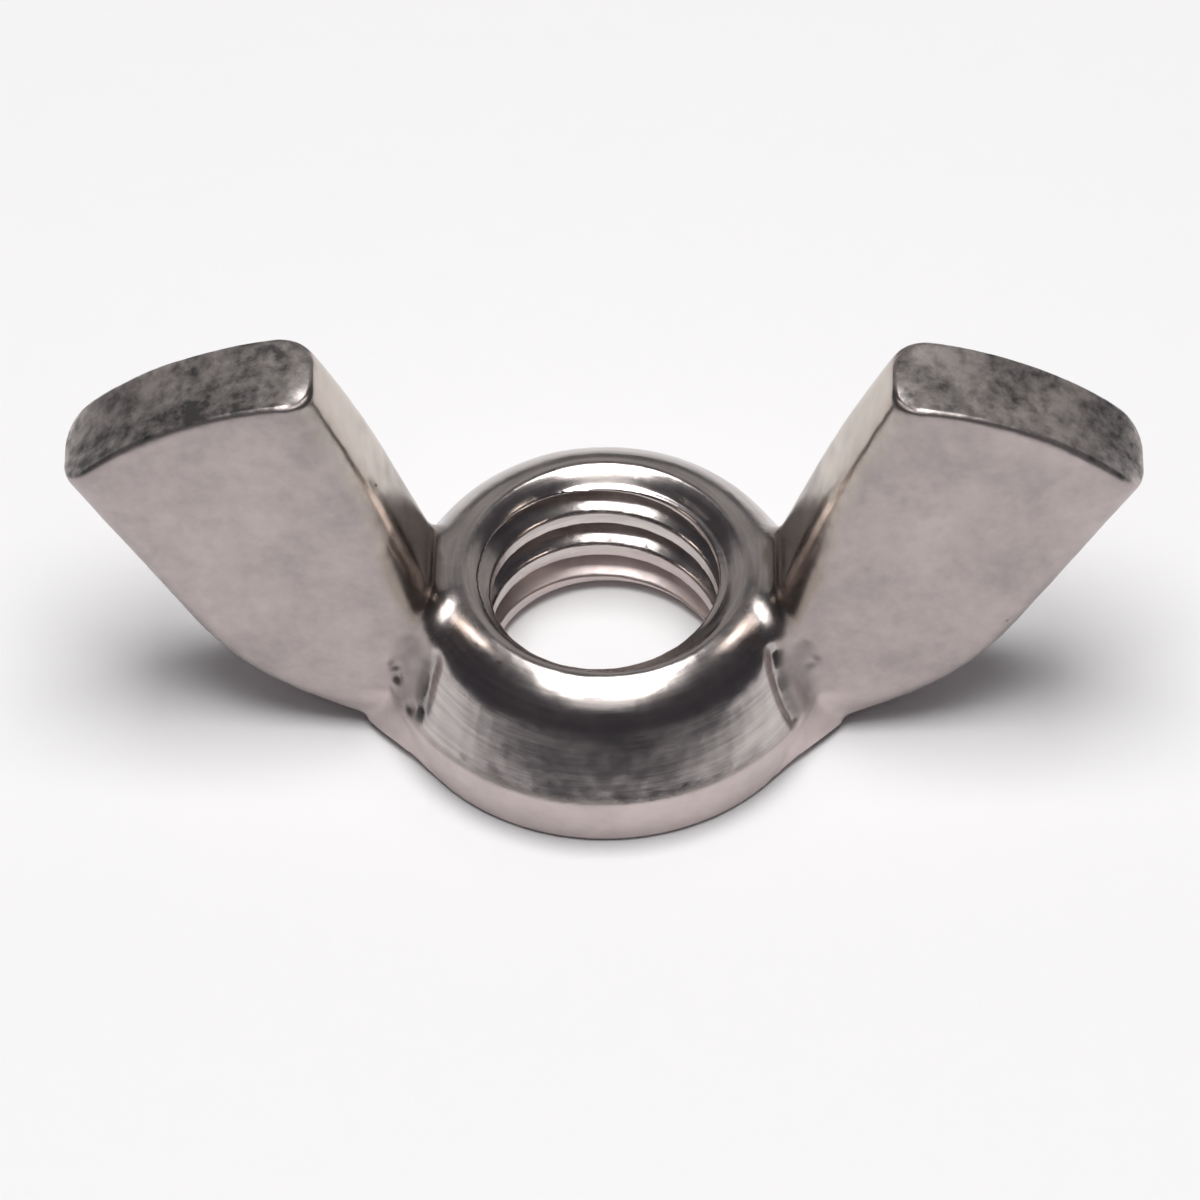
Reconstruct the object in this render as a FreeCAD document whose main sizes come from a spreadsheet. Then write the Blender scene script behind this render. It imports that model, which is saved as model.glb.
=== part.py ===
import FreeCAD, Part
import math
import os

import Sketcher
from FreeCAD import Vector

# A cold-forged wing nut, tapped 5/16-18 UNC. One piece of metal, so one body.
# Frame: +Z up the threaded hole, +X along the spread of the wings, origin at the
# centre of the hole on the flat bearing face. All lengths in millimetres.

SIZES = (
    ("thread_major_radius", 3.969, "half the 5/16 in thread diameter"),
    ("thread_crest_radius", 3.32, "wall left between the thread grooves"),
    ("thread_pitch", 1.4111, "18 threads to the inch"),
    ("thread_root_flat", 0.17, "width of the groove's flat bottom"),
    ("thread_start_height", -0.682, "centre of the first groove on +X"),
    ("thread_run", 7.0555, "five turns, past both ends of the hole"),
    ("flank_slope", 0.57735, "tangent of the 30 degree flank angle"),
    ("groove_inner_radius", "=thread_crest_radius - 0.25", "cutter inside the hole"),
    ("groove_half_width",
     "=thread_root_flat / 2 + (thread_major_radius - groove_inner_radius) * flank_slope",
     "half the cutter's width there"),
    ("groove_root_low", "=thread_start_height - thread_root_flat / 2", "groove bottom"),
    ("groove_root_high", "=thread_start_height + thread_root_flat / 2", "groove bottom"),
    ("groove_inner_low", "=thread_start_height - groove_half_width", "cutter, lower side"),
    ("groove_inner_high", "=thread_start_height + groove_half_width", "cutter, upper side"),
    ("entry_radius", 3.92, "countersink at the bearing face"),
    ("entry_depth", 0.42, "depth of that countersink"),
    ("foot_flat_radius", 6.15, "outer edge of the flat bearing face"),
    ("band_foot_radius", 6.36, "hub radius just above the bearing face"),
    ("band_foot_height", 0.21, "height of the rounded lower edge"),
    ("band_foot_bow", 0.21, "arc of that edge"),
    ("parting_radius", 6.56, "hub radius at the die parting line"),
    ("parting_height", 1.80, "height of the parting line"),
    ("dome_side_bow", 48.7, "arc of the dome above the parting line"),
    ("shoulder_radius", 5.567, "where the dome turns down"),
    ("shoulder_height", 3.726, "height of that shoulder"),
    ("shoulder_bow", 2.16, "arc of the dome from the crown to the shoulder"),
    ("crown_radius", 4.21, "upper end of that arc"),
    ("crown_height", 4.786, "height of that end"),
    ("crown_bow", 0.35, "rounding over the top of the dome"),
    ("lip_radius", 3.969, "where that rounding runs into the countersink"),
    ("lip_height", 4.762, "height of that point"),
    ("lip_bow", 1.925, "arc of the countersink"),
    ("mouth_radius", 3.50, "upper edge of the hole, the foot of the countersink"),
    ("mouth_height", 4.44, "height of that edge"),
    ("tip_inner_across", 8.26, "inner corner of a wing tip, from the axis"),
    ("tip_inner_height", 13.15, "height of that corner"),
    ("tip_outer_across", 15.49, "outer corner of a wing tip, from the axis"),
    ("tip_outer_height", 9.54, "height of that corner"),
    ("tip_arc_radius", 10.1, "bow of the tip edge"),
    ("inner_waist_across", 6.05, "inner edge of a wing, halfway down"),
    ("inner_waist_height", 8.0, "height of that point"),
    ("inner_arc_radius", 40.9, "bow of the inner edge"),
    ("core_across", 3.95, "wing blank inside the hub"),
    ("core_height", 2.0, "top of the wing blank inside the hub"),
    ("outer_waist_across", 11.93, "outer edge of a wing, halfway down"),
    ("outer_waist_height", 3.85, "height of that point"),
    ("outer_foot_across", 5.6, "outer edge where it meets the band"),
    ("outer_foot_height", 0.22, "height of that point"),
    ("outer_arc_radius", 7.736, "bow of the lower outer edge"),
    ("wing_half_top", 1.364, "half the wing thickness at the top of its taper"),
    ("wing_half_root", 2.2, "half the wing thickness at the foot of its taper"),
    ("taper_top", 19.0, "height of the thin end of the taper on the axis"),
    ("taper_foot", 3.9, "height of the thick end of the taper on the axis"),
    ("taper_clear", 2.6, "past the faces of the wing blank"),
    ("wing_edge_round", 1.0, "rounding along the wing's long edges"),
    ("web_foot_height", 0.22, "underside of the webs beside the wing roots"),
    ("web_inner_across", 5.0, "corner of a web buried in the hub"),
    ("web_inner_depth", 1.5, "depth of that corner from the mid-plane"),
    ("web_foot_hub_across", 4.6, "lower end of a web on the hub"),
    ("web_foot_hub_depth", 4.36, "depth of that end from the mid-plane"),
    ("web_foot_wing_across", 7.05, "lower end of a web on the wing"),
    ("web_wing_depth", 2.0, "depth of the ends on the wing"),
    ("web_head_hub_across", 5.4, "upper end of a web on the hub"),
    ("web_head_hub_depth", 3.6, "depth of that end from the mid-plane"),
    ("web_head_wing_across", 6.2, "upper end of a web on the wing"),
    ("toe_back_depth", 1.0, "back of a toe, buried in the wing"),
    ("toe_root_across", 6.6, "end of a toe beside the web"),
    ("toe_root_back", 0.40, "height of its buried lower corner"),
    ("toe_root_top", 1.4, "height of its upper corners"),
    ("toe_root_face", 2.12, "depth of its upper corner, in the wing's face"),
    ("toe_root_edge", 1.98, "depth of its lower edge"),
    ("toe_end_across", 9.0, "end of a toe on the rounded edge of the wing"),
    ("toe_end_back", 1.35, "height of its buried lower corner"),
    ("toe_end_top", 2.3, "height of its upper corners"),
    ("toe_end_face", 2.0, "depth of its upper corner, in the wing's face"),
    ("toe_end_edge", 1.79, "depth of its lower edge"),
    ("toe_end_low", 1.36, "height of its lower edge"),
    ("root_round", 0.9, "blend from the wing into the dome"),
    ("tip_edge_round", 0.15, "crisp rounding round the tip face"),
)

doc = FreeCAD.newDocument("wing_nut")
sheet = doc.addObject("Spreadsheet::Sheet", "sizes")
for row, (alias, value, note) in enumerate(SIZES, start=1):
    sheet.set("A%d" % row, note)
    sheet.set("B%d" % row, str(value))
    sheet.setAlias("B%d" % row, alias)
doc.recompute()
size = {alias: float(sheet.get(alias)) for alias, value, note in SIZES}

body = doc.addObject("PartDesign::Body", "wing_nut")
body.Label = "wing_nut"
body.Placement = FreeCAD.Placement(Vector(0, 0, 0), FreeCAD.Rotation())


def origin_part(role):
    """The body's own origin plane or axis with this role."""
    return next(item for item in body.Origin.OriginFeatures if item.Role == role)


def new_sketch(name, plane):
    """An empty sketch lying on one of the body's origin planes."""
    sketch = body.newObject("Sketcher::SketchObject", name)
    sketch.AttachmentSupport = [(origin_part(plane), "")]
    sketch.MapMode = "FlatFace"
    return sketch


def hold(sketch, constraint, name, formula):
    """Add a named dimension and tie it to the sheet."""
    number = sketch.addConstraint(constraint)
    sketch.renameConstraint(number, name)
    sketch.setExpression("Constraints." + name, formula)


def evaluate(text):
    """A signed alias, such as "-wing_half_top", as a number."""
    if text == "axis":
        return 0.0
    sign = -1.0 if text.startswith("-") else 1.0
    return sign * size[text.lstrip("-")]


def arc_between(start, end, radius, left):
    """Arc from start to end; left tells on which side of the chord its centre lies."""
    chord = end - start
    side = Vector(-chord.y, chord.x, 0).normalize()
    reach = math.sqrt(max(radius ** 2 - chord.Length ** 2 / 4, 0.0))
    centre = (start + end) * 0.5 + side * (reach if left else -reach)
    circle = Part.Circle(centre, Vector(0, 0, 1), radius)
    first = math.atan2(start.y - centre.y, start.x - centre.x)
    last = math.atan2(end.y - centre.y, end.x - centre.x)
    if left:
        return Part.ArcOfCircle(circle, first, last)
    return Part.ArcOfCircle(circle, last, first)


def draw_loop(sketch, corners, bows=None):
    """Closed outline through corners, each given by two signed sheet aliases.

    bows maps the number of a side to (radius alias, centre on the left).
    """
    bows = bows or {}
    base = sketch.GeometryCount
    points = [Vector(evaluate(across), evaluate(up), 0) for across, up in corners]
    count = len(points)
    ends = []
    for side in range(count):
        start, end = points[side], points[(side + 1) % count]
        if side in bows:
            radius, left = bows[side]
            sketch.addGeometry(arc_between(start, end, size[radius], left), False)
            ends.append((1, 2) if left else (2, 1))
        else:
            sketch.addGeometry(Part.LineSegment(start, end), False)
            ends.append((1, 2))
    for side in range(count):
        after = (side + 1) % count
        sketch.addConstraint(Sketcher.Constraint(
            "Coincident", base + side, ends[side][1], base + after, ends[after][0]))
    for side, (across, up) in enumerate(corners):
        where = ends[side][0]
        hold_axis(sketch, "X", base + side, where, across)
        hold_axis(sketch, "Y", base + side, where, up)
    for side, (radius, left) in bows.items():
        hold(sketch, Sketcher.Constraint("Radius", base + side, size[radius]),
             "bow%d" % (base + side), "sizes." + radius)


def hold_axis(sketch, axis, side, where, alias):
    """Fix one coordinate of a corner; the alias "axis" keeps it on the sketch axis."""
    if alias == "axis":
        line = -2 if axis == "X" else -1
        sketch.addConstraint(Sketcher.Constraint("PointOnObject", side, where, line))
        return
    sign = "-" if alias.startswith("-") else ""
    hold(sketch,
         Sketcher.Constraint("Distance" + axis, -1, 1, side, where, evaluate(alias)),
         "at%s%d" % (axis, side), sign + "sizes." + alias.lstrip("-"))


def wing_outline():
    """Both wings seen from the front, joined through the middle of the hub."""
    sketch = new_sketch("WingOutline", "XZ_Plane")
    right = [
        ("core_across", "core_height"),
        ("inner_waist_across", "inner_waist_height"),
        ("tip_inner_across", "tip_inner_height"),
        ("tip_outer_across", "tip_outer_height"),
        ("outer_waist_across", "outer_waist_height"),
        ("outer_foot_across", "outer_foot_height"),
    ]
    left = [("-" + across, up) for across, up in reversed(right)]
    bows = {
        1: ("inner_arc_radius", False),
        2: ("tip_arc_radius", False),
        4: ("outer_arc_radius", False),
        6: ("outer_arc_radius", False),
        8: ("tip_arc_radius", False),
        9: ("inner_arc_radius", False),
    }
    draw_loop(sketch, right + left, bows)
    return sketch


def taper_profile(name):
    """The wedges taken off both faces of the wing blank, seen from the side."""
    sketch = new_sketch(name, "YZ_Plane")
    for side in ("", "-"):
        draw_loop(sketch, [
            (side + "wing_half_root", "taper_foot"),
            (side + "wing_half_top", "taper_top"),
            (side + "taper_clear", "taper_top"),
            (side + "taper_clear", "taper_foot"),
        ])
    return sketch


def taper_cut(name, side):
    """Thin one wing towards its tip; the cut runs parallel to the tip edge."""
    cut = body.newObject("PartDesign::Pocket", name)
    cut.Profile = taper_profile(name + "Profile")
    cut.Type = "ThroughAll"
    cut.Midplane = True
    cut.Refine = False
    cut.UseCustomVector = True
    cut.Direction = Vector(
        side * (size["tip_outer_across"] - size["tip_inner_across"]), 0,
        size["tip_outer_height"] - size["tip_inner_height"])
    doc.recompute()
    return cut


def hub_profile():
    """Half of the hub cut through its axis, before the hole is made."""
    sketch = new_sketch("HubProfile", "XZ_Plane")
    corners = [
        ("axis", "axis"),
        ("foot_flat_radius", "axis"),
        ("band_foot_radius", "band_foot_height"),
        ("parting_radius", "parting_height"),
        ("shoulder_radius", "shoulder_height"),
        ("crown_radius", "crown_height"),
        ("lip_radius", "lip_height"),
        ("mouth_radius", "mouth_height"),
        ("axis", "mouth_height"),
    ]
    bows = {
        1: ("band_foot_bow", True),
        3: ("dome_side_bow", True),
        4: ("shoulder_bow", True),
        5: ("crown_bow", True),
        6: ("lip_bow", True),
    }
    draw_loop(sketch, corners, bows)
    return sketch


def edge_names(feature, wanted):
    """Names of the feature's edges that satisfy wanted(edge)."""
    return ["Edge%d" % number
            for number, edge in enumerate(feature.Shape.Edges, start=1) if wanted(edge)]


def add_fillet(name, feature, wanted, alias):
    fillet = body.newObject("PartDesign::Fillet", name)
    fillet.Base = (feature, edge_names(feature, wanted))
    fillet.Radius = size[alias]
    fillet.setExpression("Radius", "sizes." + alias)
    doc.recompute()
    return fillet


def middle(edge):
    return edge.valueAt((edge.FirstParameter + edge.LastParameter) / 2)


outline = wing_outline()
blank = body.newObject("PartDesign::Pad", "WingBlank")
blank.Profile = outline
blank.Midplane = True
blank.setExpression("Length", "2 * sizes.wing_half_root")
doc.recompute()

taper_cut("RightTaper", 1)
taper = taper_cut("LeftTaper", -1)


def tip_distance(point):
    """How far a point lies out along the normal of the tip faces' chord."""
    run = size["tip_outer_across"] - size["tip_inner_across"]
    drop = size["tip_inner_height"] - size["tip_outer_height"]
    chord = math.hypot(run, drop)
    return ((abs(point.x) - size["tip_inner_across"]) * drop
            + (point.z - size["tip_inner_height"]) * run) / chord


def is_long_edge(edge):
    """The edges along the inner and outer sides of the wings, both faces."""
    at = middle(edge)
    return abs(at.x) > size["core_across"] and abs(at.y) > 1.0 and tip_distance(at) < -0.1


def is_tip_edge(edge):
    """The edges round the two tip faces."""
    return tip_distance(middle(edge)) > -0.02


sides = add_fillet("WingSides", taper, is_long_edge, "wing_edge_round")
tips = add_fillet("WingTips", sides, is_tip_edge, "tip_edge_round")

hub = body.newObject("PartDesign::Revolution", "Hub")
hub.Profile = hub_profile()
hub.ReferenceAxis = (origin_part("Z_Axis"), [""])
hub.Angle = 360
hub.Refine = False
doc.recompute()


def web_section(name, level, hub_across, hub_depth, wing_across, left, front):
    """One end of a web, a triangle seen from above at the given level."""
    sketch = new_sketch(name, "XY_Plane")
    sketch.AttachmentOffset = FreeCAD.Placement(
        Vector(0, 0, size[level]), FreeCAD.Rotation())
    sketch.setExpression("AttachmentOffset.Base.z", "sizes." + level)
    draw_loop(sketch, [
        (left + "web_inner_across", front + "web_inner_depth"),
        (left + hub_across, front + hub_depth),
        (left + wing_across, front + "web_wing_depth"),
    ])
    return sketch


def add_web(number, left, front):
    """The metal drawn out of the hub band into the root of a wing."""
    foot = web_section("WebFoot%d" % number, "web_foot_height", "web_foot_hub_across",
                       "web_foot_hub_depth", "web_foot_wing_across", left, front)
    head = web_section("WebHead%d" % number, "parting_height", "web_head_hub_across",
                       "web_head_hub_depth", "web_head_wing_across", left, front)
    web = body.newObject("PartDesign::AdditiveLoft", "Web%d" % number)
    web.Profile = foot
    web.Sections = [head]
    web.Ruled = True
    web.Refine = False
    doc.recompute()
    return web


corners = (("", ""), ("-", ""), ("", "-"), ("-", "-"))
for number, (left, front) in enumerate(corners, start=1):
    web = add_web(number, left, front)


def is_root_edge(edge):
    """Where a wing rises out of the dome, above the parting line."""
    at = middle(edge)
    on_top = 3.9 < at.z < 5.0 and 4.7 < abs(at.x) < 5.4 and abs(at.y) < 2.1
    beside = 2.0 < at.z < 4.2 and 5.1 < abs(at.x) < 6.3 and 1.5 < abs(at.y) < 2.4
    return on_top or beside


roots = add_fillet("WingRoots", web, is_root_edge, "root_round")

TOE_ROOT = (
    ("toe_back_depth", "toe_root_back"),
    ("toe_back_depth", "toe_root_top"),
    ("toe_root_face", "toe_root_top"),
    ("toe_root_edge", "web_foot_height"),
)
TOE_END = (
    ("toe_back_depth", "toe_end_back"),
    ("toe_back_depth", "toe_end_top"),
    ("toe_end_face", "toe_end_top"),
    ("toe_end_edge", "toe_end_low"),
)


def toe_section(name, across, left, front, corners):
    """One end of a toe, seen along the spread of the wings."""
    sketch = new_sketch(name, "YZ_Plane")
    sketch.AttachmentOffset = FreeCAD.Placement(
        Vector(0, 0, evaluate(left + across)), FreeCAD.Rotation())
    sketch.setExpression("AttachmentOffset.Base.z", left + "sizes." + across)
    draw_loop(sketch, [(front + depth, height) for depth, height in corners])
    return sketch


def add_toe(number, left, front):
    """The lower edge of a wing, sharper where it runs down into the web."""
    toe = body.newObject("PartDesign::AdditiveLoft", "Toe%d" % number)
    toe.Profile = toe_section("ToeRoot%d" % number, "toe_root_across", left, front, TOE_ROOT)
    toe.Sections = [
        toe_section("ToeEnd%d" % number, "toe_end_across", left, front, TOE_END)]
    toe.Ruled = True
    toe.Refine = False
    doc.recompute()


for number, (left, front) in enumerate(corners, start=1):
    add_toe(number, left, front)


def bore_circle():
    """The hole before threading, drawn as four quarter arcs."""
    sketch = new_sketch("BoreCircle", "XY_Plane")
    circle = Part.Circle(Vector(0, 0, 0), Vector(0, 0, 1), size["thread_crest_radius"])
    for quarter in range(4):
        start = quarter * math.pi / 2
        sketch.addGeometry(Part.ArcOfCircle(circle, start, start + math.pi / 2), False)
    for quarter in range(4):
        after = (quarter + 1) % 4
        sketch.addConstraint(Sketcher.Constraint("Coincident", quarter, 2, after, 1))
        # three centres on the origin and one on an axis leave nothing redundant
        if quarter < 3:
            sketch.addConstraint(Sketcher.Constraint("Coincident", quarter, 3, -1, 1))
        else:
            sketch.addConstraint(Sketcher.Constraint("PointOnObject", quarter, 3, -1))
        line = -1 if quarter % 2 == 0 else -2
        sketch.addConstraint(Sketcher.Constraint("PointOnObject", quarter, 1, line))
    hold(sketch, Sketcher.Constraint("Radius", 0, size["thread_crest_radius"]),
         "crest", "sizes.thread_crest_radius")
    return sketch


bore = body.newObject("PartDesign::Pocket", "Bore")
bore.Profile = bore_circle()
bore.Type = "ThroughAll"
bore.Midplane = True
bore.Refine = False
doc.recompute()


def entry_profile():
    """Half of the countersink at the bearing face."""
    sketch = new_sketch("EntryProfile", "XZ_Plane")
    draw_loop(sketch, [
        ("axis", "axis"),
        ("entry_radius", "axis"),
        ("thread_crest_radius", "entry_depth"),
        ("axis", "entry_depth"),
    ])
    return sketch


entry = body.newObject("PartDesign::Groove", "Entry")
entry.Profile = entry_profile()
entry.ReferenceAxis = (origin_part("Z_Axis"), [""])
entry.Angle = 360
entry.Refine = False
doc.recompute()


def groove_profile():
    """Cross-section of the thread groove on the +X side, seen from the front."""
    sketch = new_sketch("GrooveProfile", "XZ_Plane")
    draw_loop(sketch, [
        ("groove_inner_radius", "groove_inner_low"),
        ("thread_major_radius", "groove_root_low"),
        ("thread_major_radius", "groove_root_high"),
        ("groove_inner_radius", "groove_inner_high"),
    ])
    return sketch


thread = body.newObject("PartDesign::SubtractiveHelix", "Thread")
thread.Profile = groove_profile()
thread.ReferenceAxis = (origin_part("Z_Axis"), [""])
thread.Mode = "pitch-height-angle"
thread.setExpression("Pitch", "sizes.thread_pitch")
thread.setExpression("Height", "sizes.thread_run")
thread.Angle = 0
thread.LeftHanded = False
thread.Reversed = False
thread.Refine = False
doc.recompute()

body.Tip = thread
doc.recompute()

faults = [item.Label for item in doc.Objects
          if "Invalid" in item.State or "Error" in item.State]
if faults:
    raise SystemExit("not rebuilt: %s" % ", ".join(faults))
if body.Shape.isNull() or not body.Shape.isValid() or len(body.Shape.Solids) != 1:
    raise SystemExit("the nut is not one valid solid")

os.makedirs("parts", exist_ok=True)
body.Shape.exportStep("parts/%s.step" % body.Label)
print("wing_nut volume", round(body.Shape.Volume, 2))
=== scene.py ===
import math

import bpy
import numpy as np
from mathutils import Matrix, Vector, noise


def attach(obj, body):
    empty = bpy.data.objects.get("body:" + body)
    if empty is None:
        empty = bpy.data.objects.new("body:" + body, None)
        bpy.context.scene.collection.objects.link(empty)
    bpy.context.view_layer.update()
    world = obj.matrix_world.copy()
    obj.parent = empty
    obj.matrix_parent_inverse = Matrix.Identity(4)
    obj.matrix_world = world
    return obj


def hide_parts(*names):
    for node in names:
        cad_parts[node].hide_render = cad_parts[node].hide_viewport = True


# The forged wing nut of the frame, with its forging marks and finish.
# The scene is in metres; the nut's surface is worked in millimetres.

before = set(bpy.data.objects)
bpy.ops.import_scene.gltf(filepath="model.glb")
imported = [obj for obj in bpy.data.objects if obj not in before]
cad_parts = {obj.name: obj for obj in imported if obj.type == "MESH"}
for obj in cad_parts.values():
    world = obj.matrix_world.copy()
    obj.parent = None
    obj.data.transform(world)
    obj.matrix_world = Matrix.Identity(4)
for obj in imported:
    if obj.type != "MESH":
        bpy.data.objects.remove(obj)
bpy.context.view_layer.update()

scene = bpy.context.scene
MM = 0.001


def link(obj):
    scene.collection.objects.link(obj)
    return obj


# ---- the nut's surface -----------------------------------------------------

VOXEL = 0.062          # spacing of the fine mesh
FACES_KEPT = 190000    # triangles left after thinning the flat areas
HUB_RADIUS = 6.56
PARTING_HEIGHT = 1.80
BORE_RADIUS = 3.97     # bottom of the thread grooves
WAVE_HEIGHT = 0.024    # long, low unevenness
GRAIN_HEIGHT = 0.005   # finer unevenness
TIP_DISH = 0.07        # how far the tip faces sink inside their edge
TIP_HALF_DEPTH = 1.25  # half the thickness of a tip face
TIP_WEAR = 0.10        # how much the tips' inner corners are worn down
TIP_WEAR_REACH = 0.45
SADDLE_REACH = 0.75    # half the width of the dull spot in each saddle
TIP_INNER = (8.26, 13.15)    # across and up, the inner end of a wing tip
TIP_OUTER = (15.49, 9.54)
TIP_RUN = TIP_OUTER[0] - TIP_INNER[0]
TIP_DROP = TIP_INNER[1] - TIP_OUTER[1]
TIP_CHORD = math.hypot(TIP_RUN, TIP_DROP)
TIP_CORNER = (8.40, 1.15, 13.05)    # where a tip's inner edge meets its long edges
# Middle of the saddle between a wing root and the dome; the other three mirror it.
SADDLE = (4.60, 1.65, 4.62)


def ramp(values, low, high):
    """0 below low, 1 above high, smooth between; the limits may differ by point."""
    share = np.clip((values - low) / (high - low), 0, 1)
    return share * share * (3 - 2 * share)


def rough_field(points, scale, octaves, shift):
    """Fractal noise from about -1 to 1 at each point; scale is features per mm."""
    offset = Vector((shift, shift * 0.7, -shift))
    return np.array([noise.fractal(Vector(p) * scale + offset, 1.0, 2.0, octaves)
                     for p in points.tolist()])


def tip_measures(points):
    """Distance out past the tip chord, and place along the tip from -1 to 1."""
    across = np.abs(points[:, 0]) - TIP_INNER[0]
    up = points[:, 2] - TIP_INNER[1]
    out = (across * TIP_DROP + up * TIP_RUN) / TIP_CHORD
    along = (across * TIP_RUN - up * TIP_DROP) / TIP_CHORD / TIP_CHORD * 2 - 1
    return out, along


def vertex_arrays(mesh):
    """The mesh's points and their normals, one row each."""
    count = len(mesh.vertices)
    points = np.empty(count * 3, dtype=np.float32)
    mesh.vertices.foreach_get("co", points)
    normals = np.empty(count * 3, dtype=np.float32)
    mesh.vertex_normals.foreach_get("vector", normals)
    return points.reshape(-1, 3).astype(float), normals.reshape(-1, 3).astype(float)


def baked(mesh, kind, weights=None, **settings):
    """The mesh after one modifier, held back by weights where they are given."""
    blank = link(bpy.data.objects.new("blank", mesh))
    modifier = blank.modifiers.new("step", kind)
    for key, value in settings.items():
        setattr(modifier, key, value)
    if weights is not None:
        group = blank.vertex_groups.new(name="where")
        levels = np.round(weights * 10).astype(int)
        for level in range(1, 11):
            group.add(np.flatnonzero(levels == level).tolist(), level / 10, "REPLACE")
        modifier.vertex_group = "where"
    depsgraph = bpy.context.evaluated_depsgraph_get()
    result = bpy.data.meshes.new_from_object(blank.evaluated_get(depsgraph))
    bpy.data.objects.remove(blank)
    return result


def evened(source):
    """The node's surface as one fine, even mesh in millimetres."""
    mesh = source.data.copy()
    mesh.transform(Matrix.Scale(1 / MM, 4))
    mesh = baked(mesh, "REMESH", mode="VOXEL", voxel_size=VOXEL)
    mesh = baked(mesh, "SMOOTH", factor=0.5, iterations=3)
    points, normals = vertex_arrays(mesh)
    radius = np.hypot(points[:, 0], points[:, 1])
    across = np.abs(points[:, 0])
    # the wing edges are rounder than the thread
    at_wing = ramp(across, 5.0, 6.0) * ramp(points[:, 2], 0.02, 0.1)
    mesh = baked(mesh, "SMOOTH", at_wing, factor=0.5, iterations=10)
    # the webs and toes run into the band and the wings without an edge
    at_root = ramp(across, 4.3, 4.9) * (1 - ramp(across, 8.8, 9.8))
    at_root *= 1 - ramp(points[:, 2], 4.2, 5.0)
    at_root *= ramp(radius, 5.0, 5.4) * ramp(points[:, 2], 0.02, 0.1)
    return baked(mesh, "SMOOTH", at_root, factor=0.5, iterations=45)


# Folds that the forging left at the wing roots: the points each runs through,
# half its width, and its depth.
FOLDS = (
    (((4.90, -2.50, 3.85), (4.98, -2.80, 3.50), (5.24, -3.10, 2.80), (5.58, -3.35, 1.95)),
     0.28, 0.15),
    (((5.71, -2.10, 3.60), (5.98, -2.41, 2.20)), 0.34, 0.10),
    (((-4.97, -2.75, 3.55), (-5.29, -3.33, 2.41)), 0.34, 0.11),
    (((-5.50, -2.05, 3.80), (-5.85, -2.12, 3.10)), 0.34, 0.08),
    (((5.10, 2.40, 3.80), (5.35, 2.85, 3.10), (5.60, 3.05, 2.20)), 0.30, 0.13),
    (((-5.10, 2.40, 3.80), (-5.30, 2.90, 3.00)), 0.32, 0.11),
)
# Pits beside the folds: centre, radius and depth.
PITS = (
    ((-6.07, -2.16, 2.78), 0.20, 0.12),
    ((-6.00, -2.24, 2.45), 0.18, 0.10),
    ((-5.60, -3.10, 2.05), 0.20, 0.09),
    ((6.05, -2.20, 3.05), 0.20, 0.09),
    ((5.80, 2.50, 2.60), 0.22, 0.11),
)


def nearest_run(points, path):
    """Distance of each point from a path of straight runs."""
    return np.min([distance_to_run(points, start, end)
                   for start, end in zip(path, path[1:])], axis=0)


def bell(distance, width):
    """1 at no distance, falling smoothly to 0 beyond about twice the width."""
    return np.exp(-(distance / width) ** 2)


def mirrored(points):
    """The points brought into the quarter where x and y are positive."""
    return np.abs(points) * (1, 1, 0) + points * (0, 0, 1)


def distance_to_point(points, centre):
    return np.linalg.norm(points - np.array(centre), axis=1)


def distance_to_run(points, start, end):
    """Distance of each point from the straight run between start and end."""
    start, end = np.array(start), np.array(end)
    run = end - start
    share = np.clip((points - start) @ run / (run @ run), 0, 1)
    return np.linalg.norm(points - start - share[:, None] * run, axis=1)


def forging_marks(points):
    """How far folds and pits move each point along its normal."""
    shift = np.zeros(len(points))
    break_up = 1 + 0.35 * rough_field(points, 0.9, 2, 5.3)
    for path, width, depth in FOLDS:
        shift -= depth * break_up * bell(nearest_run(points, path), width)
    for centre, width, depth in PITS:
        shift -= depth * bell(distance_to_point(points, centre), width)
    return shift


def facing_tip(points, normals):
    """1 on the tip faces, 0 elsewhere."""
    outward = np.sign(points[:, 0]) * normals[:, 0]
    lean = (outward * TIP_DROP + normals[:, 2] * TIP_RUN) / TIP_CHORD
    out, _ = tip_measures(points)
    return ramp(out, -0.35, -0.15) * ramp(lean, 0.62, 0.80)


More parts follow.
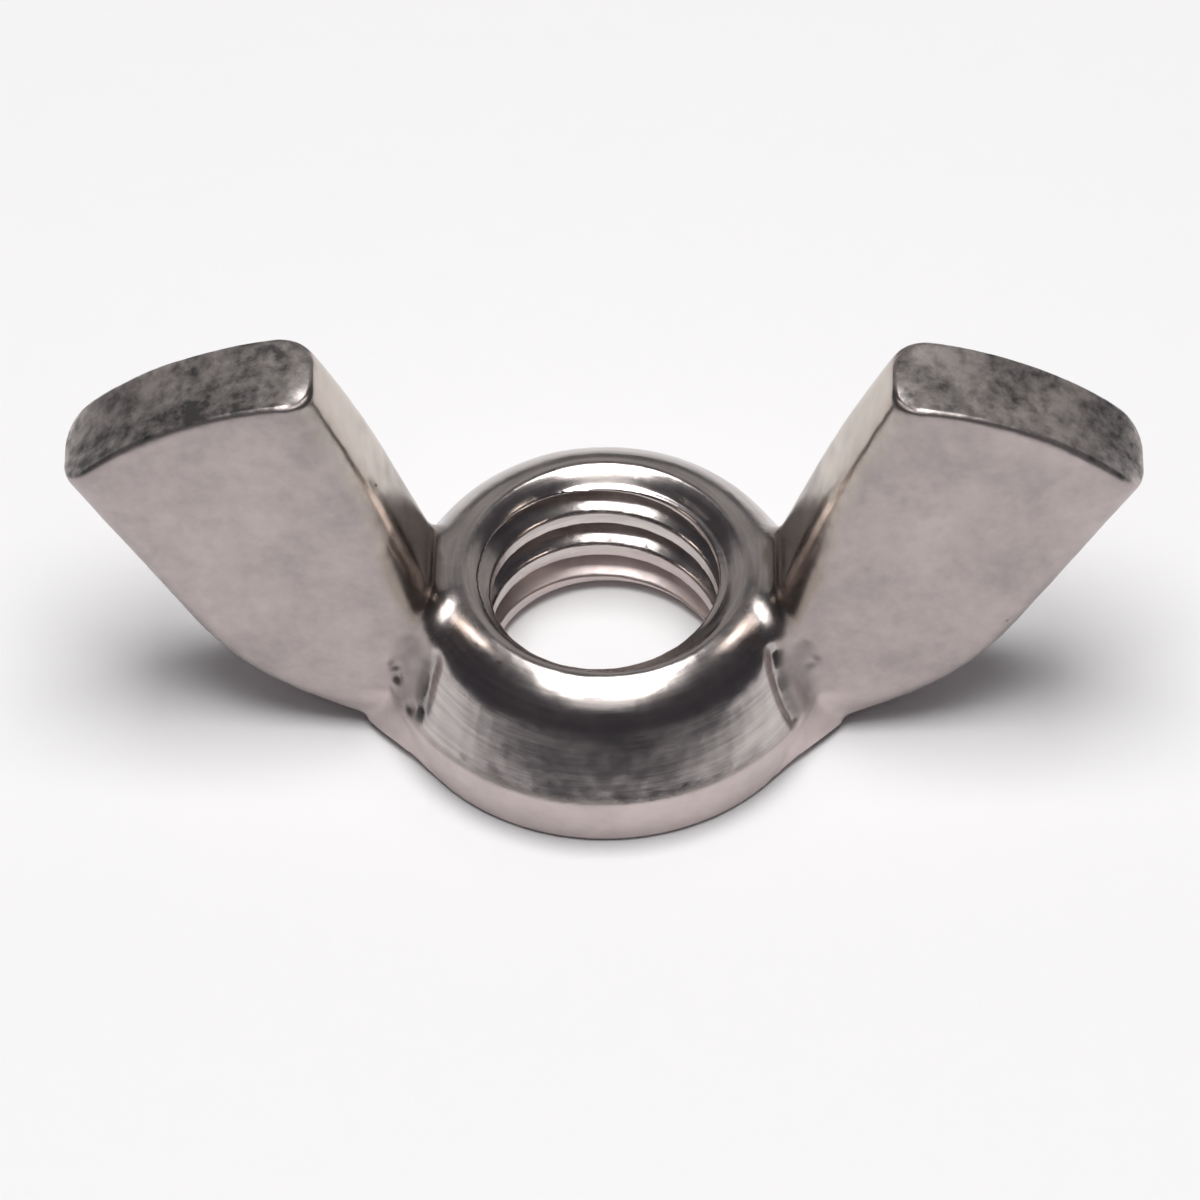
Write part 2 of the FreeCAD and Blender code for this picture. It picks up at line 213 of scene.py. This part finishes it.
def forge_surface(mesh):
    """Move the fine mesh's points by the unevenness that forging leaves."""
    points, normals = vertex_arrays(mesh)
    radius = np.hypot(points[:, 0], points[:, 1])
    _, along = tip_measures(points)

    outside_bore = ramp(radius, BORE_RADIUS, BORE_RADIUS + 0.3)
    on_dome = (ramp(points[:, 2], PARTING_HEIGHT, PARTING_HEIGHT + 0.15)
               * (1 - ramp(radius, HUB_RADIUS - 0.5, HUB_RADIUS)))
    above_floor = ramp(points[:, 2], 0.05, 0.3)

    wave = rough_field(points, 0.35, 3, 3.1)
    grain = rough_field(points, 2.2, 3, 11.7)
    # the dome was polished after forging, so it is half as uneven
    shift = WAVE_HEIGHT * wave * (1 - 0.5 * on_dome)
    shift += GRAIN_HEIGHT * grain * (1 - 0.5 * on_dome)
    shift += forging_marks(points)
    # the tip faces are slightly dished inside their edge
    across = 1 - (points[:, 1] / TIP_HALF_DEPTH) ** 2
    dish = np.clip(across, 0, 1) * np.clip(1 - along ** 4, 0, 1)
    shift -= TIP_DISH * facing_tip(points, normals) * np.sqrt(dish)
    # the inner front and back corners of the tips are worn down
    for side in (-1, 1):
        for face in (-1, 1):
            corner = (side * TIP_CORNER[0], face * TIP_CORNER[1], TIP_CORNER[2])
            worn = bell(distance_to_point(points, corner), TIP_WEAR_REACH)
            shift -= TIP_WEAR * worn * ramp(normals[:, 2], 0.35, 0.75)
    shift *= outside_bore * above_floor

    points += normals * shift[:, None]
    points[:, 2] = np.maximum(points[:, 2], 0)
    mesh.vertices.foreach_set("co", points.ravel())
    mesh.update()


def finish_masks(mesh):
    """Store on the mesh how strongly each finish shows at each point."""
    points, normals = vertex_arrays(mesh)
    radius = np.hypot(points[:, 0], points[:, 1])
    wander = 0.18 * rough_field(points, 1.3, 3, 7.9)
    dome = (ramp(points[:, 2], PARTING_HEIGHT, PARTING_HEIGHT + 0.12)
            * (1 - ramp(radius, 6.4, 6.6)))
    # the dome's polish ends where the wing roots begin
    root_across = 4.75 + 0.25 * (4.3 - points[:, 2]) + wander
    streaked = dome * (1 - ramp(np.abs(points[:, 0]) - root_across, -0.05, 0.20))
    inward = -np.sign(points[:, 0]) * normals[:, 0]
    # the smooth, dark strip of the inner edges widens towards the roots
    widening = 1 - ramp(points[:, 2] + 2 * wander, 6.0, 9.0)
    inner_edge = ramp(inward, 0.15 - 0.11 * widening, 0.95 - 0.60 * widening)
    inner_edge *= ramp(points[:, 2], 3.2, 4.2)
    saddle = ramp(points[:, 2], 3.6, 4.2) * (1 - ramp(np.abs(points[:, 0]), 5.6, 6.4))
    tip = facing_tip(points, normals)
    polish = np.maximum(np.maximum(streaked, inner_edge), saddle * ramp(normals[:, 2], 0.2, 0.5))
    polish *= 1 - tip
    # the saddles are rougher than the dome, and darkened with painted shade
    at_saddle = bell(distance_to_point(mirrored(points), SADDLE), SADDLE_REACH)
    polish *= 1 - 0.75 * at_saddle
    # painted shade in the folds and pits, and over the saddles
    dark_spots = [bell(nearest_run(points, path), 0.75 * width) for path, width, _ in FOLDS]
    dark_spots += [bell(distance_to_point(points, centre), width) for centre, width, _ in PITS]
    root_shade = np.maximum(np.max(dark_spots, axis=0), 0.8 * at_saddle)
    band = ((1 - ramp(points[:, 2], PARTING_HEIGHT - 0.1, PARTING_HEIGHT + 0.1))
            * (1 - ramp(np.abs(points[:, 0]), 6.2, 7.6)))
    # painted shade: the inner edges are darkened low down, in patches
    inner_edge_shade = inner_edge * (1 - ramp(points[:, 2] + 8 * wander, 6.5, 10.5))
    masks = {"polish": polish, "streaked": streaked, "tip": tip,
             "root_shade": root_shade, "band": band, "inner_edge_shade": inner_edge_shade}
    for name, values in masks.items():
        layer = mesh.attributes.new(name, "FLOAT", "POINT")
        layer.data.foreach_set("value", values.astype(np.float32))


def forged_nut(nut):
    """The one visible piece: the node's surface, forged and finished."""
    mesh = evened(nut)
    forge_surface(mesh)
    mesh = baked(mesh, "DECIMATE", ratio=FACES_KEPT / (2 * len(mesh.polygons)))
    finish_masks(mesh)
    mesh.transform(Matrix.Scale(MM, 4))
    mesh.name = "forged_wing_nut"
    piece = link(bpy.data.objects.new("forged_wing_nut", mesh))
    mesh.polygons.foreach_set("use_smooth", [True] * len(mesh.polygons))
    mesh.materials.clear()
    mesh.materials.append(steel_material())
    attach(piece, "root")
    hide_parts("wing_nut")


# ---- materials -----------------------------------------------------------

def new_material(name):
    """An empty material, its node tree and its shader."""
    mat = bpy.data.materials.new(name)
    mat.use_nodes = True
    tree = mat.node_tree
    return mat, tree, tree.nodes["Principled BSDF"]


def add_node(tree, kind, **settings):
    node = tree.nodes.new(kind)
    for key, value in settings.items():
        setattr(node, key, value)
    return node


def noise_texture(tree, vector, scale, detail, rough=0.5):
    texture = add_node(tree, "ShaderNodeTexNoise")
    texture.inputs["Scale"].default_value = scale
    texture.inputs["Detail"].default_value = detail
    texture.inputs["Roughness"].default_value = rough
    tree.links.new(vector, texture.inputs["Vector"])
    return texture.outputs["Fac"]


def remap(tree, value, low, high, to_low, to_high):
    """value from low..high to to_low..to_high, held at both ends."""
    node = add_node(tree, "ShaderNodeMapRange", clamp=True)
    for name, number in (("From Min", low), ("From Max", high),
                         ("To Min", to_low), ("To Max", to_high)):
        node.inputs[name].default_value = number
    tree.links.new(value, node.inputs["Value"])
    return node.outputs["Result"]


def calc(tree, operation, first, second=None):
    """One step of arithmetic; each value may be a socket or a number."""
    node = add_node(tree, "ShaderNodeMath", operation=operation)
    for socket, value in zip(node.inputs, (first, second)):
        if value is None:
            continue
        if isinstance(value, (int, float)):
            socket.default_value = value
        else:
            tree.links.new(value, socket)
    return node.outputs[0]


def blend(tree, factor, first, second):
    """Mix of two colours; either may be a socket or three numbers."""
    node = add_node(tree, "ShaderNodeMix", data_type="RGBA")
    tree.links.new(factor, node.inputs["Factor"])
    for name, colour in (("A", first), ("B", second)):
        socket = next(s for s in node.inputs if s.name == name and s.type == "RGBA")
        if isinstance(colour, tuple):
            socket.default_value = (*colour, 1)
        else:
            tree.links.new(colour, socket)
    return next(s for s in node.outputs if s.type == "RGBA")


MATTE = (0.505, 0.439, 0.427)      # wing faces
MATTE_DARK = (0.382, 0.336, 0.328)
BAND_SHEEN = (0.60, 0.516, 0.50)         # hub band, webs and the lowest part of the hole, painted lighter than the wing faces as a reflection of the bright floor
BAND_SHEEN_DARK = (0.507, 0.44, 0.43)
ROOT_SHADE_COLOUR = (0.13, 0.115, 0.115)        # painted shade in folds, pits and saddles
INNER_EDGE_SHADE = (0.25, 0.205, 0.180)       # painted shade on the lower inner edges of the wings
POLISHED = (0.62, 0.55, 0.49)      # inner edges and saddles
POLISHED_DARK = (0.52, 0.46, 0.41)
DOME_LIGHT = (0.62, 0.57, 0.54)    # dome, and the hole down to the parting line
DOME_DARK = (0.50, 0.455, 0.45)
TIP_LIGHT = (0.68, 0.62, 0.59)     # tip faces, in blotches
TIP_DARK = (0.13, 0.122, 0.122)


def steel_material():
    mat, tree, shader = new_material("forged_steel")
    place = add_node(tree, "ShaderNodeTexCoord").outputs["Object"]
    polish, lathed, tip, root_shade, band, inner_edge_shade = [
        add_node(tree, "ShaderNodeAttribute", attribute_name=name).outputs["Fac"]
        for name in ("polish", "streaked", "tip", "root_shade", "band", "inner_edge_shade")]

    cloud = noise_texture(tree, place, 420, 4, 0.6)
    speck = noise_texture(tree, place, 2200, 4, 0.6)
    # lathe-like streaks round the dome: fine along the radius and the height
    axes = add_node(tree, "ShaderNodeSeparateXYZ")
    tree.links.new(place, axes.inputs[0])
    angle = calc(tree, "ARCTAN2", axes.outputs["Y"], axes.outputs["X"])
    squares = calc(tree, "ADD", calc(tree, "POWER", axes.outputs["X"], 2.0),
                   calc(tree, "POWER", axes.outputs["Y"], 2.0))
    distance = calc(tree, "SQRT", squares)
    ring = add_node(tree, "ShaderNodeCombineXYZ")
    tree.links.new(calc(tree, "MULTIPLY", angle, 1.6), ring.inputs["X"])
    tree.links.new(calc(tree, "MULTIPLY", distance, 5000.0), ring.inputs["Y"])
    tree.links.new(calc(tree, "MULTIPLY", axes.outputs["Z"], 5000.0), ring.inputs["Z"])
    streak = noise_texture(tree, ring.outputs[0], 1.3, 5, 0.62)

    mottle = remap(tree, calc(tree, "ADD", cloud, calc(tree, "MULTIPLY", speck, 0.55)),
                   0.55, 1.0, 0.0, 1.0)
    blotch = remap(tree, calc(tree, "ADD", cloud, calc(tree, "MULTIPLY", speck, 0.8)),
                   0.72, 1.08, 0.0, 1.0)
    matte = blend(tree, mottle, MATTE_DARK, MATTE)
    streaked = remap(tree, streak, 0.40, 0.60, 0.0, 1.0)
    polished = blend(tree, mottle, POLISHED_DARK, POLISHED)
    dome = blend(tree, streaked, DOME_DARK, DOME_LIGHT)
    tipped = blend(tree, blotch, TIP_DARK, TIP_LIGHT)
    # the band's lighter colour is a painted reflection of the bright floor
    band_with_sheen = blend(tree, mottle, BAND_SHEEN_DARK, BAND_SHEEN)
    colour = blend(tree, band, matte, band_with_sheen)
    colour = blend(tree, polish, colour, polished)
    # painted shade on the lower inner edges of the wings
    colour = blend(tree, calc(tree, "MULTIPLY", inner_edge_shade, 0.75), colour, INNER_EDGE_SHADE)
    colour = blend(tree, lathed, colour, dome)
    colour = blend(tree, tip, colour, tipped)
    # painted shade in the folds, pits and saddles
    colour = blend(tree, calc(tree, "MULTIPLY", root_shade, 0.5), colour, ROOT_SHADE_COLOUR)
    tree.links.new(colour, shader.inputs["Base Color"])

    shader.inputs["Metallic"].default_value = 1.0
    matte_rough = remap(tree, mottle, 0.0, 1.0, 0.42, 0.34)
    polish_rough = remap(tree, mottle, 0.0, 1.0, 0.25, 0.17)
    gap = calc(tree, "SUBTRACT", polish_rough, matte_rough)
    roughness = calc(tree, "ADD", matte_rough, calc(tree, "MULTIPLY", gap, polish))
    tree.links.new(roughness, shader.inputs["Roughness"])

    matte_height = calc(tree, "ADD", cloud, calc(tree, "MULTIPLY", speck, 0.35))
    streak_height = calc(tree, "MULTIPLY", calc(tree, "MULTIPLY", streak, lathed), 0.07)
    calm = calc(tree, "SUBTRACT", 0.6, calc(tree, "MULTIPLY", polish, 0.4))
    height = calc(tree, "ADD", calc(tree, "MULTIPLY", matte_height, calm), streak_height)
    bump = add_node(tree, "ShaderNodeBump")
    bump.inputs["Strength"].default_value = 0.35
    bump.inputs["Distance"].default_value = 0.00006
    tree.links.new(height, bump.inputs["Height"])
    tree.links.new(bump.outputs["Normal"], shader.inputs["Normal"])
    return mat


def floor_material():
    mat, tree, shader = new_material("floor_card")
    place = add_node(tree, "ShaderNodeTexCoord").outputs["Object"]
    fibre = noise_texture(tree, place, 900, 3)
    colour = blend(tree, fibre, (0.895, 0.895, 0.912), (0.905, 0.905, 0.922))
    tree.links.new(colour, shader.inputs["Base Color"])
    shader.inputs["Roughness"].default_value = 0.9
    return mat


forged_nut(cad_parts["wing_nut"])

# ---- floor, light and camera -----------------------------------------------

FLOOR_REACH = 1.5
FLOOR_LEVEL = -0.01 * MM    # just clear of the nut's flat face, so that they don't coincide
floor_mesh = bpy.data.meshes.new("floor")
floor_mesh.from_pydata(
    [(across * FLOOR_REACH, along * FLOOR_REACH, FLOOR_LEVEL)
     for across, along in ((-1, -1), (1, -1), (1, 1), (-1, 1))],
    [], [(0, 1, 2, 3)])
floor = link(bpy.data.objects.new("floor", floor_mesh))
floor.data.materials.append(floor_material())


def area_light(name, place, aim, size, radiance, colour):
    """A rectangle of light with this radiance, turned towards aim."""
    data = bpy.data.lights.new(name, "AREA")
    data.shape = "RECTANGLE"
    data.size, data.size_y = size
    data.energy = radiance * math.pi * size[0] * size[1]
    data.color = colour
    lamp = link(bpy.data.objects.new(name, data))
    lamp.location = place
    lamp.rotation_euler = (Vector(aim) - Vector(place)).to_track_quat("-Z", "Y").to_euler()


# One ceiling lamp, which the polished dome reflects. Angles are in degrees behind
# the zenith, seen from the nut. The stretch nearest the camera is dim.
CEILING = 0.30
LAMP_NEAR = -38
LAMP_BRIGHT = -20
LAMP_FAR = 15
LAMP_WIDTH = 2 * CEILING * math.tan(math.radians(16))


def ceiling_lamp(name, from_angle, to_angle, radiance):
    """A stretch of the lamp, between two angles behind the zenith."""
    start = CEILING * math.tan(math.radians(from_angle))
    end = CEILING * math.tan(math.radians(to_angle))
    middle = (start + end) / 2
    area_light(name, (0, middle, CEILING), (0, middle, 0),
               (LAMP_WIDTH, end - start), radiance, (1.0, 0.99, 0.975))


ceiling_lamp("lamp_front", LAMP_NEAR, LAMP_BRIGHT, 0.9)
ceiling_lamp("lamp_middle", LAMP_BRIGHT, LAMP_FAR, 9.0)
# the pale wall behind the nut
area_light("back_wall", (0, 0.86, 0.51), (0, 0, 0.005), (2.4, 0.70), 0.315, (1.0, 0.97, 0.94))

world = bpy.data.worlds.new("room")
world.use_nodes = True
world.node_tree.nodes["Background"].inputs["Color"].default_value = (0.045, 0.043, 0.051, 1)
scene.world = world
scene.view_settings.view_transform = "Standard"

ELEVATION = math.radians(48.776)
AZIMUTH = math.radians(1.353)
ROLL = math.radians(-0.719)
DISTANCE = 0.300
TARGET = Vector((-0.155 * MM, 0, 3.345 * MM))
LENS = 309.9

look = Vector((-math.sin(AZIMUTH) * math.cos(ELEVATION),
               math.cos(AZIMUTH) * math.cos(ELEVATION),
               -math.sin(ELEVATION)))
level = Vector((math.cos(AZIMUTH), math.sin(AZIMUTH), 0))
upward = level.cross(look)
right = level * math.cos(ROLL) + upward * math.sin(ROLL)
top = upward * math.cos(ROLL) - level * math.sin(ROLL)
camera_data = bpy.data.cameras.new("camera")
camera_data.lens = LENS
camera_data.sensor_width = 36
camera_data.clip_start = 0.01
camera = link(bpy.data.objects.new("camera", camera_data))
turn = Matrix((right, top, -look)).transposed()
camera.matrix_world = Matrix.Translation(TARGET - look * DISTANCE) @ turn.to_4x4()
scene.camera = camera
